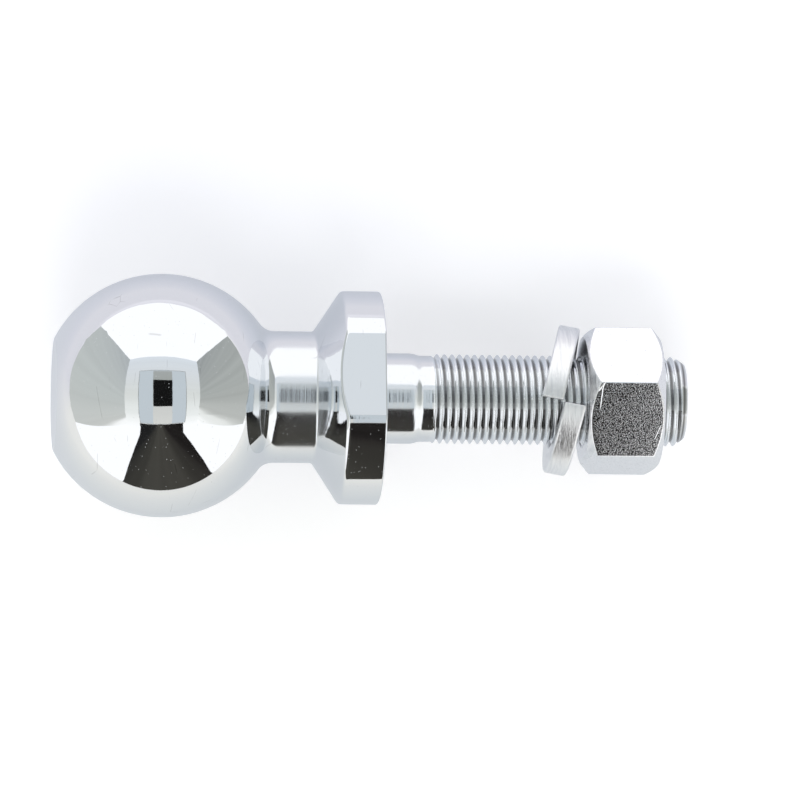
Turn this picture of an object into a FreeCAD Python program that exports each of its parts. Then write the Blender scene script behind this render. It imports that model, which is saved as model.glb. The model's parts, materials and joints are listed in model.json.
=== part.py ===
import FreeCAD, Part
import math
import os

# Threaded tow ball with its lock washer and nut, in millimetres.
# Each piece is built on the stud's axis: x runs from the centre of the ball towards the end of the
# shank, and +Z is the normal of one wrench flat. One placement then lays the whole thing on its side,
# as it comes to rest on a table: on the ball, an edge of the lower flat and a corner of the nut.

# Ball, with a small flat turned on its far end
ball_diameter = 50.8
ball_flat_diameter = 23.6

# Neck, and the hollow blend where it runs into the ball
neck_diameter = 27.5
neck_blend_radius = 4.0
neck_length = 8.12

# Collar: a cone, a round rim and two wrench flats
cone_angle = 56.5
rim_diameter = 44.6
rim_width = 8.1
flat_depth = 2.0
polished_bevel = 0.6
back_bevel = 0.3

# Thread, rolled on a blank of its pitch diameter: 3/4 inch, 16 turns to the inch
thread_nominal_diameter = 19.05
thread_pitch = 25.4 / 16
thread_crest_shortfall = 0.25

# Shank, from the collar outwards
shank_length = 64.3
plain_shortfall = 0.15
plain_length = 7.2
taper_length = 1.2
blank_length = 2.5
end_chamfer_length = 2.2
end_chamfer_depth = 1.5

# Nut
nut_across_flats = 27.8
nut_height = 16.0
nut_chamfer_angle = 38.0
nut_face_step = 0.55
nut_mouth_depth = 0.5
nut_thread_clearance = 0.06
nut_turn = 0.3
shank_past_nut = 5.3

# Spring lock washer, one turn of a left-hand helix
washer_clearance = 0.7
washer_width = 5.4
washer_thickness = 4.5
washer_rise = 4.85
washer_bevel = 0.5
washer_cut_gap = 0.3
washer_lean = 11.0
washer_lean_turn = 25.0
washer_cut_turn = -14.0
washer_gap_below = 0.45
washer_gap_to_nut = 0.6

# Ball and collar, worked out from the sizes above
ball_radius = ball_diameter / 2
neck_radius = neck_diameter / 2
rim_radius = rim_diameter / 2
flat_reach = rim_radius - flat_depth
flat_half_angle = math.acos(flat_reach / rim_radius)
neck_start = math.sqrt((ball_radius + neck_blend_radius) ** 2 - (neck_radius + neck_blend_radius) ** 2)
neck_end = neck_start + neck_length
rim_start = neck_end + (rim_radius - neck_radius) / math.tan(math.radians(cone_angle))
collar_back = rim_start + rim_width

# Shank and thread, worked out
shank_end = collar_back + shank_length
plain_end = collar_back + plain_length
taper_end = plain_end + taper_length
thread_start = taper_end + blank_length
plain_radius = (thread_nominal_diameter - plain_shortfall) / 2
thread_radius = (thread_nominal_diameter - thread_crest_shortfall) / 2
blank_radius = (thread_nominal_diameter - 0.6495 * thread_pitch) / 2

# Nut and washer, worked out
nut_far_face = shank_end - shank_past_nut
nut_near_face = nut_far_face - nut_height
nut_face_radius = nut_across_flats / 2 - nut_face_step
nut_corner_radius = nut_across_flats / 2 / math.cos(math.radians(30))
nut_chamfer_slope = math.tan(math.radians(nut_chamfer_angle))
nut_corner_drop = (nut_corner_radius - nut_face_radius) * nut_chamfer_slope
nut_bore_radius = thread_radius + nut_thread_clearance
washer_inner_radius = thread_radius + washer_clearance
washer_outer_radius = washer_inner_radius + washer_width
washer_mean_radius = washer_inner_radius + washer_width / 2
washer_half_span = (washer_rise + washer_thickness) / 2
washer_cut_lean = math.sin(math.radians(washer_lean)) * math.sin(math.radians(washer_lean_turn))
washer_middle = nut_near_face - washer_gap_to_nut - washer_half_span + washer_mean_radius * washer_cut_lean

AXIS = FreeCAD.Vector(1, 0, 0)
ORIGIN = FreeCAD.Vector(0, 0, 0)


def spot(x, radius):
    """A point of a turned outline: x along the axis, radius out from it."""
    return FreeCAD.Vector(x, 0, radius)


def line(start, end):
    return Part.LineSegment(start, end).toShape()


def round_between(centre, start, end):
    """The short arc about centre from start to end."""
    radius = start.distanceToPoint(centre)
    middle = (start - centre).normalize() + (end - centre).normalize()
    return Part.Arc(start, centre + middle.normalize() * radius, end).toShape()


def outline(points):
    """Straight edges from each point to the next."""
    return [line(start, end) for start, end in zip(points, points[1:])]


def turned(edges):
    """The solid that a closed outline sweeps round the axis."""
    return Part.Face(Part.Wire(edges)).revolve(ORIGIN, AXIS, 360)


def ball_outline():
    """From the axis over the end flat and the ball, and down the hollow blend to the neck."""
    flat_radius = ball_flat_diameter / 2
    flat_edge = spot(-math.sqrt(ball_radius ** 2 - flat_radius ** 2), flat_radius)
    blend_centre = spot(neck_start, neck_radius + neck_blend_radius)
    blend_foot = blend_centre * (ball_radius / (ball_radius + neck_blend_radius))
    return [
        line(spot(flat_edge.x, 0), flat_edge),
        Part.Arc(flat_edge, spot(0, ball_radius), blend_foot).toShape(),
        round_between(blend_centre, blend_foot, spot(neck_start, neck_radius)),
    ]


def stud_body():
    """Ball, neck, collar and shank, turned in one piece."""
    edges = ball_outline()
    edges += outline([
        spot(neck_start, neck_radius),
        spot(neck_end, neck_radius),
        spot(rim_start, rim_radius),
        spot(collar_back, rim_radius),
        spot(collar_back, plain_radius),
        spot(plain_end, plain_radius),
        spot(taper_end, blank_radius),
        spot(thread_start, blank_radius),
        spot(thread_start + thread_radius - blank_radius, thread_radius),
        spot(shank_end - end_chamfer_length, thread_radius),
        spot(shank_end, thread_radius - end_chamfer_depth),
        spot(shank_end, 0),
        edges[0].Vertexes[0].Point,
    ])
    return turned(edges)


def flat_cutter(side):
    """What the milling of one wrench flat takes off the collar, on the +Z side or the -Z side."""
    block = Part.makeBox(collar_back - neck_end, rim_diameter, rim_diameter)
    block.translate(FreeCAD.Vector(neck_end, -rim_radius, flat_reach))
    if side < 0:
        block.rotate(ORIGIN, AXIS, 180)
    return block


def collar_edges(stud, at_back):
    """The collar's outer edges, round and flat: those of its back face, or all the others."""
    small = 0.01
    found = []
    for edge in stud.Edges:
        box = edge.BoundBox
        on_collar = box.XMin > neck_end + small and box.XMax < collar_back + small
        outside = max(box.YMax, -box.YMin, box.ZMax, -box.ZMin) > flat_reach - polished_bevel
        seam = max(abs(box.ZMin), abs(box.ZMax)) < small
        back = box.XMin > collar_back - small
        if on_collar and outside and not seam and back == at_back:
            found.append(edge)
    return found


def tow_ball_stud():
    """The turned body with its seam at the side, two milled flats, and the collar's edges broken."""
    stud = stud_body()
    stud.rotate(ORIGIN, AXIS, 90)
    for side in (1, -1):
        stud = stud.cut(flat_cutter(side))
    stud = stud.makeChamfer(polished_bevel, collar_edges(stud, False))
    return stud.makeChamfer(back_bevel, collar_edges(stud, True)).Solids[0]


def hexagon(radius, height):
    """A six-sided bar on the axis with a corner towards +Z."""
    corners = []
    for index in range(7):
        angle = math.radians(60 * index)
        corners.append(FreeCAD.Vector(0, radius * math.sin(angle), radius * math.cos(angle)))
    return Part.Face(Part.makePolygon(corners)).extrude(FreeCAD.Vector(height, 0, 0))


def nut_spindle(end_radius, middle_radius, slope_length):
    """A bar as long as the nut, with its middle at one radius and both ends sloping to another."""
    return turned(outline([
        spot(0, 0),
        spot(0, end_radius),
        spot(slope_length, middle_radius),
        spot(nut_height - slope_length, middle_radius),
        spot(nut_height, end_radius),
        spot(nut_height, 0),
        spot(0, 0),
    ]))


def hex_nut():
    """A hexagon bar turned at both ends to a shallow cone, and bored with a chamfered mouth each end."""
    reach = nut_corner_radius + 1
    drop = (reach - nut_face_radius) * nut_chamfer_slope
    cones = nut_spindle(nut_face_radius, reach, drop)
    bore = nut_spindle(nut_bore_radius + nut_mouth_depth, nut_bore_radius, nut_mouth_depth)
    nut = hexagon(nut_corner_radius, nut_height).common(cones).cut(bore).Solids[0]
    nut.rotate(ORIGIN, AXIS, -nut_turn)
    nut.translate(FreeCAD.Vector(nut_near_face, 0, 0))
    return nut


def washer_section():
    """The bevelled bar section at the helix's start, which lies on +Z, on the collar's side."""
    inner = washer_inner_radius
    outer = washer_outer_radius
    low = -washer_half_span
    high = low + washer_thickness
    return Part.makePolygon([
        spot(low, inner + washer_bevel),
        spot(low, outer - washer_bevel),
        spot(low + washer_bevel, outer),
        spot(high - washer_bevel, outer),
        spot(high, outer - washer_bevel),
        spot(high, inner + washer_bevel),
        spot(high - washer_bevel, inner),
        spot(low + washer_bevel, inner),
        spot(low, inner + washer_bevel),
    ])


def washer_spine():
    """One left-hand turn about the axis, from +Z round to +Z again, short by the width of the cut."""
    turn = 1 - washer_cut_gap / (2 * math.pi * washer_mean_radius)
    spine = Part.makeHelix(washer_rise, washer_rise * turn, washer_mean_radius, 0, True)
    # the helix is made on +Z, starting on +X: this turns it onto the stud's axis, starting on +Z
    spine.rotate(ORIGIN, FreeCAD.Vector(0, 1, 0), 90)
    spine.rotate(ORIGIN, AXIS, 180)
    spine.translate(FreeCAD.Vector(-washer_rise / 2, 0, 0))
    return spine


def spring_washer():
    """A bar coiled one turn and cut off square, leaning on the shank with its cut on top."""
    sweep = Part.BRepOffsetAPI.MakePipeShell(Part.Wire(washer_spine()))
    sweep.setBiNormalMode(AXIS)
    sweep.add(washer_section())
    sweep.build()
    sweep.makeSolid()
    washer = sweep.shape()
    lean_turn = math.radians(washer_lean_turn)
    washer.rotate(ORIGIN, FreeCAD.Vector(0, math.sin(lean_turn), math.cos(lean_turn)), -washer_lean)
    washer.translate(FreeCAD.Vector(0, 0, washer_gap_below - washer_clearance))
    washer.rotate(ORIGIN, AXIS, -washer_cut_turn)
    washer.translate(FreeCAD.Vector(washer_middle, 0, 0))
    return washer


def lean_on_collar(roll):
    """How far the axis dips when the ball and the lower flat's edge both touch the table."""
    height = rim_radius * math.cos(flat_half_angle - roll)
    reach = math.hypot(collar_back, height)
    return math.asin(ball_radius / reach) - math.atan2(height, collar_back)


def nut_depth(roll):
    """How far the nut's lowest corner then reaches below the table."""
    dip = lean_on_collar(roll)
    along = nut_far_face - nut_corner_drop
    radius = nut_corner_radius * math.cos(roll + math.radians(nut_turn))
    return along * math.sin(dip) + radius * math.cos(dip) - ball_radius


def resting_roll():
    """The roll of the upper flat at which the nut's corner comes down on the table too."""
    low = 0.0
    high = flat_half_angle
    while high - low > 1e-12:
        middle = (low + high) / 2
        if nut_depth(middle) > 0:
            low = middle
        else:
            high = middle
    return high


def resting_placement(pieces):
    """Lay the pieces down at rest, with the origin on the table under the middle of the whole."""
    roll = resting_roll()
    rolled = FreeCAD.Rotation(AXIS, -math.degrees(roll))
    dipped = FreeCAD.Rotation(FreeCAD.Vector(0, 1, 0), math.degrees(lean_on_collar(roll)))
    placement = FreeCAD.Placement(ORIGIN, dipped.multiply(rolled))
    box = FreeCAD.BoundBox()
    for piece in pieces.values():
        laid = piece.copy()
        laid.Placement = placement.multiply(laid.Placement)
        box.add(laid.optimalBoundingBox(False))
    placement.Base = FreeCAD.Vector(-box.Center.x, -box.Center.y, -box.ZMin)
    return placement


def build():
    return {
        "tow_ball_stud": tow_ball_stud(),
        "spring_washer": spring_washer(),
        "hex_nut": hex_nut(),
    }


def main():
    os.makedirs("parts", exist_ok=True)
    pieces = build()
    placement = resting_placement(pieces)
    for name, piece in pieces.items():
        piece.Placement = placement.multiply(piece.Placement)
        piece.exportStep("parts/" + name + ".step")
        print(name, len(piece.Solids), piece.isValid(), round(piece.Volume, 1))


main()
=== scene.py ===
# The visible pieces of a threaded tow ball, its washer and its nut, lying in a white light tent
import json
import math

import bpy
import numpy as np
from mathutils import Matrix, Vector

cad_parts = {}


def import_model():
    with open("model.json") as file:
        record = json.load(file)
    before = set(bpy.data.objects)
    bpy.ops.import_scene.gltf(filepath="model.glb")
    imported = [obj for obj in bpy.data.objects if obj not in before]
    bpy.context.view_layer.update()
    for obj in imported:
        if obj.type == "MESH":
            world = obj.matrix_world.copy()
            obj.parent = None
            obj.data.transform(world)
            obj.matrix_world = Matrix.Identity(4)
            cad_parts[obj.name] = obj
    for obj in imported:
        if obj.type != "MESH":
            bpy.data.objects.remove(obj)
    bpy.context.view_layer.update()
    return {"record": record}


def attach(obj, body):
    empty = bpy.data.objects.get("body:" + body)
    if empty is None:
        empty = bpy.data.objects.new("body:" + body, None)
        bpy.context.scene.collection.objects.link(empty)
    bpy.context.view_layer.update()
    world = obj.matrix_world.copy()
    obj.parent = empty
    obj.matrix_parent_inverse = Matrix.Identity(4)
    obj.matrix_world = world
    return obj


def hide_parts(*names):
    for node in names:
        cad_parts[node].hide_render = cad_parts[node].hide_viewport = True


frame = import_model()

MM = 0.001

# Sizes in millimetres, nearly all with their names from part.py; the ball is 0.005 smaller in radius
# than there, which keeps the visible mesh inside the solid's box
ball_radius = 25.395
ball_flat_radius = 11.8
neck_radius = 13.75
neck_blend_radius = 4.0
neck_length = 8.12
cone_angle = math.radians(56.5)
rim_radius = 22.3
flat_reach = 20.3
plain_radius = 9.45
plain_length = 7.2
taper_length = 1.2
blank_radius = 9.01
blank_length = 2.5
thread_radius = 9.4
shank_length = 64.3
end_chamfer_length = 2.2
end_chamfer_depth = 1.5
thread_pitch = 25.4 / 16
nut_apothem = 13.9
nut_height = 16.0
nut_chamfer_slope = math.tan(math.radians(38))
nut_face_radius = 13.35
nut_mouth_radius = 9.96
nut_turn = math.radians(0.3)
nut_corner = math.pi / 2 - nut_turn
shank_past_nut = 5.3
washer_inner_radius = 10.1
washer_width = 5.4
washer_thickness = 4.5
washer_rise = 4.85
washer_cut_gap = 0.3
washer_lean = math.radians(11)
washer_lean_turn = math.radians(25)
washer_cut_turn = math.radians(-14)
washer_sag = 0.25
washer_gap_to_nut = 0.6

# Fine forms that only the visible pieces have
ball_edge_radius = 0.7
neck_corner_radius = 0.9
polished_edge_radius = 1.1
flat_edge_softness = 0.3
back_edge_radius = 0.35
shank_root_radius = 0.6
plain_end_radius = 4.5
taper_end_radius = 2.5
thread_depth = 0.97
thread_softness = 0.2
thread_fade = 1.2
crest_place = 57.58
crest_angle = math.radians(14)
nut_thread_gap = 0.1
nut_minor_radius = 8.67
nut_corner_softness = 0.12
nut_edge_radius = 0.35
nut_end_edge_radius = 0.15
washer_edge_radius = 0.55
washer_cut_edge = 0.12

# How the meshes are divided: columns round the axis, finer ones beside an edge in radians, how many
# times their widest offset stays clear of even columns, and rows
columns_round = 144
flat_edge_columns = (-0.028, -0.016, -0.008, 0.0, 0.008, 0.016, 0.028)
nut_corner_columns = (-0.02, -0.01, -0.004, 0.004, 0.01, 0.02)
clear_of_edge = 1.6
rows_per_turn = 12
washer_steps = 220

# Where the thread's coil of rows starts and ends, and how far ahead of its place the cutting begins
coil_start = 0.7
coil_overrun = 0.4
end_face_overlap = 0.2
thread_lead = 0.2
nut_coil_spare = 0.1

# The stud's own axes: its axis, the direction of the collar's side, and the upper flat's normal
mounts = {mount["name"]: mount for mount in frame["record"]["mounts"]}
axis = Vector(mounts["shank"]["axis"]).normalized()
ball_centre = Vector(mounts["ball"]["pos_m"])
seat = Vector(mounts["collar_seat"]["pos_m"]) - ball_centre
side = (seat - axis * seat.dot(axis)).normalized()
upward = axis.cross(side)
stud_axes = np.array([axis, side, upward])

# Places along the axis, in millimetres from the middle of the ball
collar_back = seat.dot(axis) / MM
neck_start = math.sqrt((ball_radius + neck_blend_radius) ** 2 - (neck_radius + neck_blend_radius) ** 2)
neck_end = neck_start + neck_length
plain_end = collar_back + plain_length
taper_end = plain_end + taper_length
thread_start = taper_end + blank_length
shank_end = collar_back + shank_length
nut_near_face = shank_end - shank_past_nut - nut_height
washer_mean_radius = washer_inner_radius + washer_width / 2
washer_half_span = (washer_rise + washer_thickness) / 2
washer_cut_lean = math.sin(washer_lean) * math.sin(washer_lean_turn)
washer_middle = nut_near_face - washer_gap_to_nut - washer_half_span + washer_mean_radius * washer_cut_lean


def soft_least(first, second, width):
    """The smaller of two values, with a soft change from one to the other."""
    overlap = np.maximum(width - np.abs(first - second), 0) / width
    return np.minimum(first, second) - overlap ** 2 * width / 4


def soft_most(first, second, width):
    """The larger of two values, with a soft change from one to the other."""
    return -soft_least(-first, -second, width)


def columns(count, edges, offsets):
    """Angles round the axis: evenly spaced, with finer ones at the given edges instead."""
    even = np.arange(count) * 2 * math.pi / count
    reach = max(offsets) * clear_of_edge
    kept = [a for a in even if min(abs(math.remainder(a - e, 2 * math.pi)) for e in edges) > reach]
    fine = [(e + o) % (2 * math.pi) for e in edges for o in offsets]
    return np.array(sorted(kept + fine))


class Skin:
    """The points and faces of one closed mesh, in millimetres on the stud's axis."""

    def __init__(self, angles=None):
        self.angles = angles
        self.points = []
        self.faces = []
        self.count = 0

    def add(self, points):
        """Add points, and give their numbers."""
        first = self.count
        self.points.append(np.asarray(points, dtype=float))
        self.count += len(points)
        return np.arange(first, self.count)

    def ring(self, x, radius):
        """A ring of points, one in each column."""
        x = np.broadcast_to(x, self.angles.shape)
        return self.add(np.column_stack([x, radius * np.cos(self.angles), radius * np.sin(self.angles)]))

    def join(self, first, second):
        """Quads between two closed rings."""
        after = np.roll(first, -1)
        beyond = np.roll(second, -1)
        self.faces += np.column_stack([first, after, beyond, second]).tolist()

    def rings(self, rows, last=None):
        """One ring for each row of (x, radius), each joined to the one before; gives first and last."""
        start = last
        for x, radius in rows:
            here = self.ring(x, radius)
            if last is not None:
                self.join(last, here)
            else:
                start = here
            last = here
        return start, last

    def tip(self, x, ring):
        """A point on the axis, joined to a ring."""
        middle = self.add([(x, 0, 0)])[0]
        after = np.roll(ring, -1)
        self.faces += [[middle, b, a] for a, b in zip(ring.tolist(), after.tolist())]

    def coil(self, before, after, place, row_count):
        """A band climbing one pitch a turn, between two rings; place(rows, angles) gives x and radius.

        After one turn the band meets its first column again, as many rows further on as a turn has. So
        that column is carried on by that many points, and one long face at each end takes up the rise.
        """
        rows = np.arange(row_count + rows_per_turn)[:, None]
        angles = self.angles[None, :]
        x, radius = place(rows, angles)
        y = radius * np.cos(angles)
        z = radius * np.sin(angles)
        grid = np.stack([x, y, z], axis=2)
        wide = len(self.angles)
        body = self.add(grid[:row_count].reshape(-1, 3)).reshape(row_count, wide)
        seam = np.concatenate([body[:, 0], self.add(grid[row_count:, 0])])
        body = np.column_stack([body, seam[rows_per_turn:]])
        quads = np.stack([body[:-1, :-1], body[:-1, 1:], body[1:, 1:], body[1:, :-1]], axis=2)
        self.faces += quads.reshape(-1, 4).tolist()
        low = body[0]
        high = body[-1]
        for i in range(wide - 1):
            self.faces.append([before[i], before[i + 1], low[i + 1], low[i]])
        self.faces.append([before[-1], before[0], *seam[:rows_per_turn + 1], low[wide - 1]])
        self.faces.append([high[0], high[1], after[1], after[0], *seam[:row_count - 1:-1]])
        for i in range(1, wide):
            self.faces.append([high[i], high[i + 1], after[(i + 1) % wide], after[i]])

    def piece(self, name):
        """A Blender object of this mesh, its normals weighted by the size of the faces that meet."""
        local = np.vstack(self.points)
        placed = local @ stud_axes * MM + np.array(ball_centre)
        normals = np.zeros_like(placed)
        volume = 0.0
        for size in sorted({len(face) for face in self.faces}):
            faces = np.array([face for face in self.faces if len(face) == size])
            corners = placed[faces]
            area = np.zeros((len(faces), 3))
            for i in range(1, size - 1):
                area += np.cross(corners[:, i] - corners[:, 0], corners[:, i + 1] - corners[:, 0])
            volume += (corners.mean(axis=1) * area).sum()
            for i in range(size):
                np.add.at(normals, faces[:, i], area)
        faces = self.faces
        if volume < 0:
            faces = [face[::-1] for face in faces]
            normals = -normals
        normals /= np.linalg.norm(normals, axis=1)[:, None]
        mesh = bpy.data.meshes.new(name)
        mesh.from_pydata(placed.tolist(), [], [[int(i) for i in face] for face in faces])
        mesh.polygons.foreach_set("use_smooth", [True] * len(mesh.polygons))
        mesh.normals_split_custom_set_from_vertices(normals.tolist())
        made = bpy.data.objects.new(name, mesh)
        bpy.context.scene.collection.objects.link(made)
        return made


def rounded(x, radius, before, after, bend, steps):
    """Rows round a corner at (x, radius), which the outline reaches along before and leaves along after."""
    before = np.array(before) / np.linalg.norm(before)
    after = np.array(after) / np.linalg.norm(after)
    turn = math.acos(float(before @ after))
    across = (after - before * math.cos(turn)) / math.sin(turn)
    start = -before * bend * math.tan(turn / 2)
    rows = []
    for step in range(steps + 1):
        angle = turn * step / steps
        move = start + bend * (math.sin(angle) * before + (1 - math.cos(angle)) * across)
        rows.append((x + move[0], radius + move[1]))
    return rows


def straight(first, last, count):
    """Rows evenly between two rows, without either."""
    rows = []
    for step in range(1, count + 1):
        part = step / (count + 1)
        rows.append(tuple(a + (b - a) * part for a, b in zip(first, last)))
    return rows


def arc(centre, radius, start, stop, steps):
    """Rows along a circle about centre, its angles measured from the axis."""
    angles = np.linspace(start, stop, steps + 1)
    return [(centre[0] + radius * math.cos(a), centre[1] + radius * math.sin(a)) for a in angles]


def thread_drop(x, angles):
    """How far the thread's surface lies under its crests."""
    turned = x / thread_pitch - angles / (2 * math.pi)
    phase = (turned - crest_place / thread_pitch + crest_angle / (2 * math.pi)) % 1
    full = thread_pitch * math.sin(math.radians(60))
    flank = (1 - np.abs(1 - 2 * phase)) * full
    drop = soft_most(flank - (full - thread_depth) / 2, 0.0, thread_softness)
    return soft_least(drop, thread_depth, thread_softness)


def crest_row(wanted):
    """The place nearest to the wanted one where a row of the coil would follow a crest, at angle zero."""
    step = thread_pitch / rows_per_turn
    zero = crest_place - thread_pitch * crest_angle / (2 * math.pi)
    return zero + step * round((wanted - zero) / step)


def climb(start, rows, angles):
    """How far along the axis a coil has come, one pitch for each turn."""
    return start + thread_pitch * (rows / rows_per_turn + angles / (2 * math.pi))


def ball_rows():
    """From the small end flat over the ball and down the hollow blend to the neck."""
    flat_place = math.sqrt(ball_radius ** 2 - ball_flat_radius ** 2)
    edge_x = ball_edge_radius - flat_place
    edge_r = math.sqrt((ball_radius - ball_edge_radius) ** 2 - edge_x ** 2)
    edge_turn = math.atan2(edge_r, edge_x)
    blend_turn = math.atan2(neck_radius + neck_blend_radius, neck_start)
    rows = straight((-flat_place, 0), (-flat_place, edge_r), count=6)
    rows += arc((edge_x, edge_r), ball_edge_radius, math.pi, edge_turn, steps=5)
    rows += arc((0, 0), ball_radius, edge_turn, blend_turn, steps=62)[1:]
    blend_centre = (neck_start, neck_radius + neck_blend_radius)
    rows += arc(blend_centre, neck_blend_radius, blend_turn - math.pi, -math.pi / 2, steps=10)[1:]
    return rows


def collar_rows(angles):
    """The neck's end, the cone, the rim with its two flats, and the back face down to the shank."""
    cone = (math.cos(cone_angle), math.sin(cone_angle))
    least_sine = 0.5
    flat = flat_reach / np.maximum(np.abs(np.sin(angles)), least_sine)
    top = soft_least(flat, rim_radius, flat_edge_softness)
    top_x = neck_end + (top - neck_radius) / math.tan(cone_angle)
    neck_corner = rounded(neck_end, neck_radius, (1, 0), cone, neck_corner_radius, steps=4)
    front = rounded(top_x, top, cone, (1, 0), polished_edge_radius, steps=6)
    back = rounded(collar_back, top, (1, 0), (0, -1), back_edge_radius, steps=4)
    root = rounded(collar_back, plain_radius, (0, -1), (1, 0), shank_root_radius, steps=4)
    rows = straight((neck_start, neck_radius), neck_corner[0], count=6) + neck_corner
    rows += straight(neck_corner[-1], front[0], count=7) + front
    rows += straight(front[-1], back[0], count=6) + back
    rows += straight(back[-1], root[0], count=5) + root
    return rows


def shank_rows():
    """The plain length and the taper down to the rolling blank."""
    taper = (taper_length, blank_radius - plain_radius)
    shoulder = rounded(plain_end, plain_radius, (1, 0), taper, plain_end_radius, steps=4)
    foot = rounded(taper_end, blank_radius, taper, (1, 0), taper_end_radius, steps=3)
    first = (collar_back + shank_root_radius, plain_radius)
    return straight(first, shoulder[0], count=5) + shoulder + foot


def tow_ball_stud():
    """Ball, neck, collar and threaded shank as one closed mesh."""
    flat_edge = math.asin(flat_reach / rim_radius)
    edges = [flat_edge, math.pi - flat_edge, math.pi + flat_edge, -flat_edge]
    skin = Skin(columns(columns_round, edges, flat_edge_columns))
    rows = ball_rows()
    first, last = skin.rings(rows)
    skin.tip(rows[0][0], first)
    last = skin.rings(collar_rows(skin.angles) + shank_rows(), last)[1]

    start = crest_row(taper_end + coil_start)
    end_radius = thread_radius - end_chamfer_depth
    chamfer = end_chamfer_depth / end_chamfer_length

    def place(rows, angles):
        along = climb(start, rows, angles)
        x = np.minimum(along, shank_end)
        rolled = np.clip((x - thread_start + thread_lead) / thread_fade, 0, 1)
        cut = thread_radius - thread_drop(x, angles)
        radius = blank_radius + rolled * (cut - blank_radius)
        radius = np.minimum(radius, end_radius + (shank_end - x) * chamfer)
        radius = np.where(along > shank_end, end_radius - (along - shank_end), radius)
        return x, radius

    row_count = math.ceil((shank_end + coil_overrun - start) / thread_pitch * rows_per_turn) + 1
    furthest = climb(start, row_count, 2 * math.pi)
    inner = end_radius - (furthest - shank_end) - end_face_overlap
    after = skin.ring(shank_end, inner)
    skin.coil(last, after, place, row_count)
    last = skin.rings([(shank_end, inner * share) for share in (0.66, 0.33)], after)[1]
    skin.tip(shank_end, last[::-1])
    return skin.piece("stud_finish")


def hexagon_reach(angles):
    """How far the hexagon's outside lies from the axis, with its corners a little rounded."""
    sixth = math.pi / 3
    away = (angles - nut_corner) % sixth
    away = np.minimum(away, sixth - away)
    near = nut_apothem / np.cos(math.pi / 6 - away)
    other = nut_apothem / np.cos(math.pi / 6 + away)
    return soft_least(near, other, nut_corner_softness)


def nut_outside(angles):
    """Rows of the chamfered hexagon, from its near face to its far face, in the nut's own place."""
    reach = hexagon_reach(angles)
    drop = (reach - nut_face_radius) * nut_chamfer_slope
    cone = (nut_chamfer_slope, 1)
    end = rounded(0, nut_face_radius, (0, 1), cone, nut_end_edge_radius, steps=2)
    edge = rounded(drop, reach, cone, (1, 0), nut_edge_radius, steps=4)
    near = end + straight(end[-1], edge[0], count=3) + edge
    far = [(nut_height - x, radius) for x, radius in near[::-1]]
    return near + straight(near[-1], far[0], count=7) + far


def hex_nut():
    """The chamfered hexagon with its threaded bore as one closed mesh."""
    corners = [nut_corner + math.pi / 3 * i for i in range(6)]
    skin = Skin(columns(columns_round, corners, nut_corner_columns))
    start = crest_row(nut_near_face - thread_pitch - nut_coil_spare)

    def place(rows, angles):
        along = climb(start, rows, angles) - nut_near_face
        x = np.clip(along, 0, nut_height)
        groove = thread_radius - thread_drop(x + nut_near_face, angles) + nut_thread_gap
        radius = np.maximum(groove, nut_minor_radius)
        radius = np.maximum(radius, nut_mouth_radius - np.minimum(x, nut_height - x))
        beyond = np.maximum(-along, along - nut_height)
        radius = np.where(beyond > 0, nut_mouth_radius + beyond, radius)
        return x + nut_near_face, radius

    rows = [(nut_near_face + x, radius) for x, radius in nut_outside(skin.angles)]
    first, last = skin.rings(rows)
    far_face = nut_near_face + nut_height
    row_count = math.ceil((far_face + nut_coil_spare - start) / thread_pitch * rows_per_turn)
    skin.coil(first, last, place, row_count)
    return skin.piece("nut_finish")


def washer_outline(inset):
    """The bar's rounded section about its middle, as (along the axis, outwards from it)."""
    high = washer_thickness / 2 - inset
    wide = washer_width / 2 - inset
    points = []
    corners = [((-high, -wide), (0, -1), (1, 0)), ((high, -wide), (1, 0), (0, 1)),
               ((high, wide), (0, 1), (-1, 0)), ((-high, wide), (-1, 0), (0, -1))]
    for corner, before, after in corners:
        bent = rounded(*corner, before, after, washer_edge_radius, steps=5)
        if points:
            points += straight(points[-1], bent[0], count=5)
        points += bent
    points += straight(points[-1], points[0], count=5)
    return np.array(points)


def spring_washer():
    """One left-hand turn of a bar with its cut on top, leaning on the shank."""
    mean = washer_mean_radius
    lean_axis = Vector((0, math.sin(washer_lean_turn), math.cos(washer_lean_turn)))
    lean = np.array(Matrix.Rotation(-washer_lean, 3, lean_axis))
    roll = np.array(Matrix.Rotation(-washer_cut_turn, 3, "X"))
    turn = 2 * math.pi - washer_cut_gap / mean
    edge = washer_cut_edge / mean
    stations = [(0, washer_cut_edge), (edge, 0)]
    stations += [(turn * i / washer_steps, 0) for i in range(1, washer_steps)]
    stations += [(turn - edge, 0), (turn, washer_cut_edge)]
    skin = Skin()
    last = None
    for angle, inset in stations:
        section = washer_outline(inset)
        x = washer_rise * (angle / (2 * math.pi) - 0.5) + section[:, 0]
        radius = mean + section[:, 1]
        bar = np.column_stack([x, radius * math.sin(angle), radius * math.cos(angle)]) @ lean.T
        bar = (bar - (0, 0, washer_sag)) @ roll.T
        here = skin.add(bar + (washer_middle, 0, 0))
        if last is None:
            skin.faces.append(here[::-1].tolist())
        else:
            skin.join(last, here)
        last = here
    skin.faces.append(last.tolist())
    return skin.piece("washer_finish")


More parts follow.
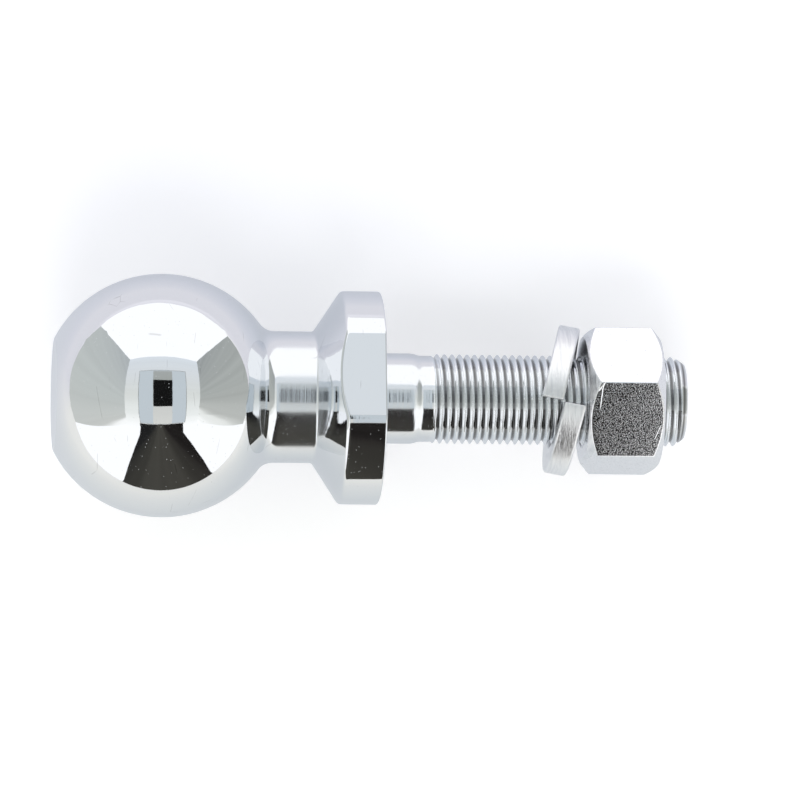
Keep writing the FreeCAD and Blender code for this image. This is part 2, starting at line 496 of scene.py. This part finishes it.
class Nodes:
    """A short way to write a material's node tree."""

    def __init__(self, name):
        self.material = bpy.data.materials.new(name)
        self.material.use_nodes = True
        self.tree = self.material.node_tree
        self.tree.nodes.clear()

    def node(self, kind, settings=None, **sockets):
        """Add a node; sockets named with capitals and spaces as underscores get a value or a link."""
        made = self.tree.nodes.new(kind)
        for key, value in (settings or {}).items():
            setattr(made, key, value)
        for key, value in sockets.items():
            self.feed(made, key.replace("_", " "), value)
        return made

    def feed(self, node, socket, value):
        """Set or link a socket, by its name or by i and its number."""
        numbered = socket[0] == "i" and socket[1:].isdigit()
        target = node.inputs[int(socket[1:]) if numbered else socket]
        if isinstance(value, bpy.types.NodeSocket):
            self.tree.links.new(value, target)
        else:
            target.default_value = value

    def math(self, operation, first, second=0.0, third=0.0):
        """A sum on two or three values."""
        made = self.node("ShaderNodeMath", {"operation": operation}, i0=first, i1=second, i2=third)
        return made.outputs[0]

    def ramp(self, value, stops):
        """A tone for a value from 0 to 1: stops of (place, tone), a tone being a grey or a colour."""
        made = self.node("ShaderNodeValToRGB", Fac=value)
        points = made.color_ramp.elements
        while len(points) < len(stops):
            points.new(0.5)
        for point, (place, tone) in zip(points, stops):
            point.position = place
            point.color = (*tone, 1) if isinstance(tone, tuple) else (tone, tone, tone, 1)
        return made.outputs["Color"]

    def share(self, value, low, high):
        """Where a value lies between low, which gives 0, and high, which gives 1."""
        return self.node("ShaderNodeMapRange", Value=value, From_Min=low, From_Max=high).outputs[0]

    def length(self, vector):
        """How long a vector is."""
        return self.node("ShaderNodeVectorMath", {"operation": "LENGTH"}, i0=vector).outputs["Value"]

    def object_place(self):
        """A place in the object's own coordinates, in metres."""
        return self.node("ShaderNodeTexCoord").outputs["Object"]

    def reading(self, direction, low, high):
        """How far a place lies along a direction: 0 at low and 1 at high, metres from the ball's middle."""
        reach = self.node(
            "ShaderNodeVectorMath", {"operation": "DOT_PRODUCT"}, i0=self.object_place(), i1=direction)
        start = ball_centre.dot(direction)
        return self.share(reach.outputs["Value"], start + low, start + high)

    def graded(self, direction, stops):
        """A tone that changes along a direction: stops of (metres from the ball's middle, tone)."""
        low = stops[0][0]
        high = stops[-1][0]
        read = self.reading(direction, low, high)
        return self.ramp(read, [((place - low) / (high - low), tone) for place, tone in stops])

    def off_axis(self, low, high):
        """How far a place lies from the stud's axis: 0 at low and 1 at high, in metres."""
        return self.share(self.length(self.along_stud((0, 1, 1))), low, high)

    def mix(self, factor, first, second):
        """A mix of two colours."""
        made = self.node("ShaderNodeMix", {"data_type": "RGBA"}, Factor=factor, A=first, B=second)
        return made.outputs["Result"]

    def noise(self, vector, scale, detail=2.0, roughness=0.5):
        """Soft noise, its scale in cells to the metre."""
        made = self.node("ShaderNodeTexNoise", Vector=vector, Scale=scale, Detail=detail, Roughness=roughness)
        return made.outputs["Fac"]

    def along_stud(self, stretch=(1, 1, 1), turn=0.0):
        """Object coordinates in the stud's own axes, metres from the ball, stretched and turned."""
        turned = Matrix([axis, side, upward])
        local = self.node(
            "ShaderNodeMapping", Vector=self.object_place(), Location=-(turned @ ball_centre),
            Rotation=turned.to_euler())
        slant = (turn, 0, turn)
        spread = self.node("ShaderNodeMapping", Vector=local.outputs[0], Scale=stretch, Rotation=slant)
        return spread.outputs[0]

    def bump(self, height, strength, distance, normal=None):
        """Relief of a distance in metres, on top of an earlier relief if there is one."""
        made = self.node("ShaderNodeBump", Strength=strength, Distance=distance, Height=height)
        if normal is not None:
            self.tree.links.new(normal, made.inputs["Normal"])
        return made.outputs["Normal"]

    def metal(self, colour, blur, normal):
        """Finish the material as a metal."""
        shader = self.node(
            "ShaderNodeBsdfPrincipled", Base_Color=colour, Metallic=1.0, Roughness=blur, Normal=normal)
        return self.finish(shader.outputs[0])

    def glow(self, colour, strength=1.0):
        """A shader that only gives light."""
        return self.node("ShaderNodeEmission", Color=colour, Strength=strength).outputs[0]

    def blend(self, factor, first, second):
        """A mix of two shaders."""
        return self.node("ShaderNodeMixShader", Fac=factor, i1=first, i2=second).outputs[0]

    def finish(self, shader):
        """End the tree with a shader, and give the material."""
        self.node("ShaderNodeOutputMaterial", Surface=shader)
        return self.material


# Scratches are the edges of long cells: their stretch, their width, how coarse and soft their breaks are
scratch_stretch = 0.12
scratch_width = 0.012
scratch_break_scale = 0.8
scratch_break_softness = 0.04


def scratches(nodes, turn, scale, above):
    """Thin lines, broken up, at one slant: the edges of long cells, where a noise is above a value."""
    cells = nodes.node(
        "ShaderNodeTexVoronoi", {"feature": "DISTANCE_TO_EDGE"},
        Vector=nodes.along_stud((1, scratch_stretch, 1), turn), Scale=scale)
    line = nodes.ramp(cells.outputs["Distance"], ((0.0, 1.0), (scratch_width, 0.0)))
    breaks = nodes.noise(nodes.along_stud(), scale * scratch_break_scale)
    where = nodes.ramp(breaks, ((above, 0.0), (above + scratch_break_softness, 1.0)))
    return nodes.math("MULTIPLY", line, where)


def specks(nodes, scale, share, size):
    """Small round spots, in a share of the cells of a given scale."""
    cells = nodes.node("ShaderNodeTexVoronoi", Vector=nodes.along_stud(), Scale=scale, Randomness=1.0)
    spot = nodes.ramp(cells.outputs["Distance"], ((size, 1.0), (size * 2, 0.0)))
    rare = nodes.ramp(cells.outputs["Color"], ((1 - share, 0.0), (1.02 - share, 1.0)))
    return nodes.math("MULTIPLY", spot, rare)


def on_stud(nodes, stops):
    """A tone that changes along the stud: stops of (millimetres from the ball's middle, tone)."""
    return nodes.graded(axis, [(place * MM, tone) for place, tone in stops])


def turning_lines(nodes):
    """Fine rings left by turning, on the neck and on the shank's plain part."""
    where = on_stud(nodes, (
        (neck_start - 3, 0.02), (neck_start + 1.8, 0.4),
        (neck_end - 0.35, 0.5), (neck_end + 0.85, 0.25),
        (collar_back - 0.3, 0.1), (collar_back + 0.3, 0.8),
        (plain_end + 0.3, 0.8), (thread_start + 1.4, 0.25)))
    rings = nodes.noise(nodes.along_stud((1, 0.02, 0.02)), 2200.0, detail=3.0, roughness=0.65)
    return nodes.math("MULTIPLY", rings, where)


def turning_blur(nodes):
    """A polish that is duller where the turning shows, with a slight haze."""
    polish = on_stud(nodes, (
        (neck_start - 3, 0.02), (neck_start + 1.8, 0.16),
        (neck_end - 0.35, 0.16), (neck_end + 2, 0.03),
        (collar_back - 0.3, 0.03), (collar_back + 0.3, 0.12),
        (plain_end + 0.3, 0.12), (thread_start + 1.4, 0.05)))
    haze = nodes.noise(nodes.along_stud(), 900.0, detail=3.0)
    return nodes.math("MULTIPLY_ADD", haze, 0.03, polish)


def chrome_colour(nodes):
    """Bright chrome, with painted shade darkening it towards the roots of the thread."""
    depth = nodes.off_axis((thread_radius - thread_depth) * MM, thread_radius * MM)
    # painted shade: the chrome turns darker towards the thread's roots, where less light reaches
    painted_root_shade = nodes.ramp(depth, (
        (0.02, (0.20, 0.20, 0.20)), (0.12, (0.48, 0.49, 0.50)), (0.34, (0.90, 0.92, 0.94))))
    cut = on_stud(nodes, (
        (thread_start - 0.8, 0.0), (thread_start + 0.8, 1.0),
        (shank_end - 0.7, 1.0), (shank_end - 0.25, 0.0)))
    return nodes.mix(cut, (0.82, 0.84, 0.86, 1), painted_root_shade)


def chrome():
    """Polished chrome: turning lines on neck and shank, dust, hairline scratches, and painted shade in the
    thread's roots.
    """
    nodes = Nodes("chrome_finish")
    hair = nodes.math(
        "MAXIMUM", scratches(nodes, turn=0.5, scale=170.0, above=0.62),
        scratches(nodes, turn=-0.9, scale=130.0, above=0.64))
    flaws = nodes.math("MAXIMUM", hair, specks(nodes, scale=420.0, share=0.07, size=0.05))
    dust = specks(nodes, scale=1400.0, share=0.45, size=0.05)
    normal = nodes.bump(nodes.noise(nodes.along_stud(), 240.0), strength=0.05, distance=0.0002)
    normal = nodes.bump(turning_lines(nodes), strength=0.9, distance=0.00003, normal=normal)
    normal = nodes.bump(dust, strength=1.0, distance=0.00003, normal=normal)
    normal = nodes.bump(flaws, strength=-0.5, distance=0.00004, normal=normal)
    colour = nodes.mix(nodes.math("MULTIPLY", flaws, 0.35), chrome_colour(nodes), (0.2, 0.2, 0.21, 1))
    return nodes.metal(colour, turning_blur(nodes), normal)


def nut_zinc():
    """Zinc plate on a finely grained face: small bright and dark spots, with a few long scratches."""
    nodes = Nodes("nut_zinc_finish")
    grain = nodes.noise(nodes.along_stud(), 4000.0, roughness=0.6)
    hair = nodes.math(
        "MAXIMUM", scratches(nodes, turn=0.4, scale=90.0, above=0.6),
        scratches(nodes, turn=-0.7, scale=120.0, above=0.62))
    glints = nodes.ramp(grain, ((0.48, 0.0), (0.74, 1.0)))
    normal = nodes.bump(glints, strength=0.8, distance=0.000006)
    normal = nodes.bump(hair, strength=0.6, distance=0.00003, normal=normal)
    tone = nodes.ramp(grain, (
        (0.26, (0.60, 0.61, 0.63)), (0.40, (0.90, 0.91, 0.93)), (0.64, (0.97, 0.97, 0.98))))
    colour = nodes.mix(nodes.math("MULTIPLY", hair, 0.3), tone, (0.95, 0.95, 0.96, 1))
    haze = nodes.noise(nodes.along_stud(), 260.0, detail=3.0)
    blur = nodes.math("MULTIPLY_ADD", haze, 0.06, 0.05)
    return nodes.metal(colour, blur, normal)


def washer_zinc():
    """Zinc plate over the drawn and ground bar: streaks along the bar."""
    nodes = Nodes("washer_zinc_finish")
    streaks = nodes.noise(nodes.along_stud((1, 0.06, 0.06)), 1900.0, detail=4.0, roughness=0.7)
    grain = nodes.noise(nodes.along_stud(), 1600.0)
    normal = nodes.bump(streaks, strength=0.9, distance=0.0002)
    normal = nodes.bump(grain, strength=0.4, distance=0.00006, normal=normal)
    tone = nodes.ramp(streaks, ((0.3, (0.80, 0.81, 0.83)), (0.55, (0.97, 0.975, 0.98))))
    pits = nodes.math("MULTIPLY", specks(nodes, scale=500.0, share=0.06, size=0.06), 0.8)
    colour = nodes.mix(pits, tone, (0.1, 0.1, 0.1, 1))
    return nodes.metal(colour, 0.3, normal)


def dress(piece, material, body, node):
    """Give a visible piece its material and body, and hide the CAD node whose place it takes."""
    piece.data.materials.append(material)
    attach(piece, body)
    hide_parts(node)


dress(tow_ball_stud(), chrome(), "stud", "tow_ball_stud")
dress(spring_washer(), washer_zinc(), "washer", "spring_washer")
dress(hex_nut(), nut_zinc(), "nut", "hex_nut")

# The photograph's view: rolled from the flat's normal, tilted along the stud, turned in the picture.
# The lens is in millimetres for each metre of distance
view_roll = math.radians(14)
view_tilt = math.radians(5.7)
view_turn = math.radians(0.7)
camera_distance = 1.6
lens_per_metre = 215.865
ball_left_of_middle = 49.72 * MM
ball_above_middle = 0.917 * MM

above = upward * math.cos(view_roll) - side * math.sin(view_roll)
across = upward * math.sin(view_roll) + side * math.cos(view_roll)
towards = above * math.cos(view_tilt) - axis * math.sin(view_tilt)
level = axis * math.cos(view_tilt) + above * math.sin(view_tilt)
right = level * math.cos(view_turn) + across * math.sin(view_turn)
top = across * math.cos(view_turn) - level * math.sin(view_turn)
view_axes = Matrix([right, top, towards]).transposed()


def add_camera():
    """The camera, its lens in step with its distance so that the ball keeps its size in the picture."""
    lens = bpy.data.cameras.new("camera")
    lens.sensor_width = 36
    lens.lens = lens_per_metre * camera_distance
    lens.clip_start = 0.05
    lens.clip_end = 20
    camera = bpy.data.objects.new("camera", lens)
    middle = ball_centre + right * ball_left_of_middle - top * ball_above_middle
    camera.matrix_world = Matrix.Translation(middle + towards * camera_distance) @ view_axes.to_4x4()
    bpy.context.scene.collection.objects.link(camera)
    bpy.context.scene.camera = camera


# The light tent, in metres about the ball, in the camera's axes: right, top and towards the camera.
# What is sewn on a cloth lies some layer gaps inside it
tent_height = 1.12
front_slope = 0.45
front_foot = 0.1468
layer_gap = 0.002
lamp_power = 3.2
lamp_size = 0.5
lamp_place = (0.05, -0.55, 0.65)

# The floor, in metres about the frame's origin: its glow to the camera and where it turns white, the
# oval of painted shadow round the object in its reflection, that reflection's share, and its half width
floor_glow = 0.26
white_from = 0.11
white_to = 0.16
shade_from = 0.036
shade_to = 0.11
shade_stretch = 0.475
mirror_share = 0.6
floor_half_width = 3.0


def cloth(name, direction, stops, folds=0.0):
    """A lit cloth, its tone changing along a direction: stops of (metres, colour), and soft folds."""
    nodes = Nodes(name)
    colour = nodes.graded(direction, stops)
    if folds:
        read = nodes.reading(direction, stops[0][0], stops[-1][0])
        wave = nodes.node("ShaderNodeTexNoise", {"noise_dimensions": "1D"}, W=read, Scale=14.0, Detail=2.0)
        shade = nodes.math("MULTIPLY_ADD", wave.outputs["Fac"], folds * 2, 1 - folds)
        scaled = nodes.node("ShaderNodeVectorMath", {"operation": "SCALE"}, i0=colour, Scale=shade)
        colour = scaled.outputs["Vector"]
    return nodes.finish(nodes.glow(colour))


def plain_cloth(name, tone):
    """A cloth of one tone."""
    return cloth(name, right, ((-1.0, tone), (1.0, tone)))


def tent_point(a, b, c):
    """A point given in metres from the ball's middle: to the right, to the top, towards the camera."""
    return ball_centre + right * a + top * b + towards * c


def sheet(name, points, material):
    """A flat piece of the surroundings, from its corners."""
    mesh = bpy.data.meshes.new(name)
    mesh.from_pydata([tuple(point) for point in points], [], [list(range(len(points)))])
    made = bpy.data.objects.new(name, mesh)
    made.data.materials.append(material)
    bpy.context.scene.collection.objects.link(made)
    return made


def panel(name, corners, material):
    """A flat panel of the tent, which lights and is reflected but isn't seen; corners in the tent's axes."""
    made = sheet(name, [tent_point(*corner) for corner in corners], material)
    made.visible_camera = False
    made.visible_shadow = False


def front_panel(name, outline, layer, material):
    """Part of the slanting front cloth, its outline given as (right, height), some layers inside it."""
    foot = layer * layer_gap - front_foot
    panel(name, [(a, foot - front_slope * c, c) for a, c in outline], material)


def ceiling_patch(name, low, high, layer, material):
    """A rectangle of the ceiling between two (right, top) corners, some layers under it."""
    height = tent_height - layer * layer_gap
    corners = [(low[0], low[1]), (high[0], low[1]), (high[0], high[1]), (low[0], high[1])]
    panel(name, [(a, b, height) for a, b in corners], material)


def tent_walls(white):
    """The back wall and the two side walls."""
    left_cloth = cloth("tent_cloth_left", top + towards * 0.19, (
        (-0.50, (1.2, 1.2, 1.18)), (-0.29, (1.1, 1.1, 1.08)), (-0.22, (0.68, 0.69, 0.66)),
        (0.1, (0.60, 0.63, 0.61)), (0.8, (0.50, 0.53, 0.54))), folds=0.08)
    right_cloth = cloth("tent_cloth_right", top + towards * 0.1, (
        (-0.50, (1.2, 1.2, 1.18)), (-0.20, (0.95, 0.96, 0.92)), (-0.14, (0.58, 0.59, 0.56)),
        (0.1, (0.46, 0.48, 0.46)), (0.8, (0.38, 0.40, 0.40))), folds=0.16)
    left_foot = (-0.36, 0.413, -0.05)
    right_foot = (0.455, 0.413, -0.03)
    left_head = (-0.70, 0.84, tent_height)
    right_head = (0.90, 0.84, tent_height)
    left_front = [(-0.74, -0.64, tent_height), (-0.52, -0.32, -0.02)]
    right_front = [(0.86, -0.64, tent_height), (0.43, -0.32, 0.02)]
    panel("tent_wall_back", [left_foot, right_foot, right_head, left_head], white)
    panel("tent_wall_left", [left_foot, left_head, *left_front], left_cloth)
    panel("tent_wall_right", [right_foot, right_head, *right_front], right_cloth)


def tent_front(white, dark):
    """The front cloth with its dark opening."""
    cloth_outline = [(-0.45, -0.1), (0.43, -0.1), (0.86, tent_height), (-0.74, tent_height)]
    opening_outline = [
        (-0.062, -0.1), (0.090, -0.1), (0.092, 0.0), (0.112, 0.058), (0.15, 0.185), (0.234, 0.504),
        (0.49, tent_height), (-0.40, tent_height), (-0.174, 0.435), (-0.098, 0.139), (-0.064, 0.0)]
    front_panel("tent_wall_front", cloth_outline, 0, white)
    front_panel("tent_opening", opening_outline, 2, dark)


def tent_ceiling(dark):
    """The roof cloth with its window, the window's frame and middle, and a black square."""
    roof = cloth("tent_roof_cloth", top, (
        (-0.65, (1.17, 1.17, 1.15)), (-0.28, (0.95, 0.97, 0.94)), (0.04, (0.80, 0.82, 0.79)),
        (0.44, (0.80, 0.83, 0.85)), (0.84, (0.80, 0.85, 0.90))), folds=0.04)
    frame_line = plain_cloth("tent_frame", (0.25, 0.25, 0.24))
    window = plain_cloth("tent_window", (0.62, 0.68, 0.72))
    middle = cloth("tent_middle", top, (
        (-0.58, (0.78, 0.78, 0.74)), (-0.2, (0.72, 0.72, 0.69)), (0.28, (0.42, 0.44, 0.42)),
        (0.5, (0.44, 0.46, 0.45))))
    black = plain_cloth("tent_camera", (0.008, 0.008, 0.008))
    ceiling_patch("tent_roof", (-0.76, -0.65), (0.92, 0.84), 0, roof)
    ceiling_patch("tent_opening_top", (-0.41, -0.65), (0.49, -0.588), 2, dark)
    ceiling_patch("tent_window_frame", (-0.401, -0.580), (0.528, 0.494), 2, frame_line)
    ceiling_patch("tent_window_side", (-0.392, -0.572), (0.519, 0.486), 3, window)
    ceiling_patch("tent_window_middle", (-0.122, -0.572), (0.24, 0.47), 4, middle)
    ceiling_patch("tent_camera", (-0.115, -0.199), (0.240, 0.287), 5, black)


def light_tent():
    """White and grey cloths round the object, with a dark opening at the front."""
    white = plain_cloth("tent_white", (1.2, 1.2, 1.21))
    dark = cloth("tent_dark", right, (
        (-0.4, (0.012, 0.013, 0.014)), (-0.10, (0.018, 0.018, 0.018)), (-0.03, (0.07, 0.067, 0.058)),
        (0.05, (0.055, 0.052, 0.045)), (0.10, (0.018, 0.016, 0.015)), (0.5, (0.012, 0.011, 0.01))),
        folds=0.5)
    tent_walls(white)
    tent_front(white, dark)
    tent_ceiling(dark)


def front_lamp():
    """A soft lamp over the near side, for the floor and what is matt: the tent already shows in the metal."""
    lamp = bpy.data.lights.new("front_lamp", "AREA")
    lamp.energy = lamp_power
    lamp.size = lamp_size
    made = bpy.data.objects.new("front_lamp", lamp)
    place = tent_point(*lamp_place)
    aimed_at = tent_point(lamp_place[0], 0, 0)
    aim = (place - aimed_at).to_track_quat("Z", "Y").to_matrix().to_4x4()
    made.matrix_world = Matrix.Translation(place) @ aim
    made.visible_glossy = False
    made.visible_camera = False
    bpy.context.scene.collection.objects.link(made)


def floor_to_camera(nodes, matt):
    """The lit floor near the object, and plain white further off."""
    shaded = nodes.node("ShaderNodeAddShader", i0=matt, i1=nodes.glow((1, 1, 1, 1), floor_glow)).outputs[0]
    away = nodes.share(nodes.length(nodes.object_place()), white_from, white_to)
    return nodes.blend(away, shaded, nodes.glow((1, 1, 1, 1)))


def floor_to_metal(nodes, matt):
    """The floor as the metal reflects it: pale, with painted shade darker and bluer towards the view's top,
    and a painted shadow darker in an oval round the object.
    """
    # painted shadow: the reflected floor is darkened in an oval round the object
    oval = nodes.node("ShaderNodeMapping", Vector=nodes.object_place(), Scale=(shade_stretch, 1, 0))
    clear = nodes.share(nodes.length(oval.outputs[0]), shade_from, shade_to)
    shade = nodes.ramp(clear, ((0.0, (0.70, 0.76, 0.83)), (1.0, (1.0, 1.0, 1.0))))
    # painted shade: the reflected floor is lighter and warmer on the near side, darker and bluer towards the
    # view's top
    pale_with_painted_shade = nodes.graded(top, ((-0.05, (0.92, 0.905, 0.865)), (0.05, (0.81, 0.79, 0.84))))
    tone = nodes.node("ShaderNodeVectorMath", {"operation": "MULTIPLY"}, i0=pale_with_painted_shade, i1=shade).outputs["Vector"]
    return nodes.blend(mirror_share, matt, nodes.glow(tone))


def floor():
    """A white table: white to the camera, pale to what reflects it, and darker where the object shades it,
    with painted shade towards the view's top and a painted shadow in its reflection.
    """
    nodes = Nodes("floor_white")
    path = nodes.node("ShaderNodeLightPath").outputs
    # painted shade: the matt colour is lighter on the near side and darker and bluer towards the view's top
    matt_painted_shade_tone = nodes.graded(top, ((-0.05, (0.93, 0.92, 0.90)), (0.05, (0.86, 0.855, 0.91))))
    matt = nodes.node("ShaderNodeBsdfDiffuse", Color=matt_painted_shade_tone).outputs[0]
    unseen = nodes.blend(path["Is Glossy Ray"], matt, floor_to_metal(nodes, matt))
    whole = nodes.blend(path["Is Camera Ray"], unseen, floor_to_camera(nodes, matt))
    half = floor_half_width
    corners = [(-half, -half, 0), (half, -half, 0), (half, half, 0), (-half, half, 0)]
    sheet("floor", corners, nodes.finish(whole))


def world():
    """Plain white all round."""
    made = bpy.data.worlds.new("world")
    made.use_nodes = True
    background = made.node_tree.nodes["Background"]
    background.inputs["Color"].default_value = (1, 1, 1, 1)
    background.inputs["Strength"].default_value = 1.0
    bpy.context.scene.world = made


add_camera()
light_tent()
front_lamp()
floor()
world()
bpy.context.scene.view_settings.view_transform = "Standard"
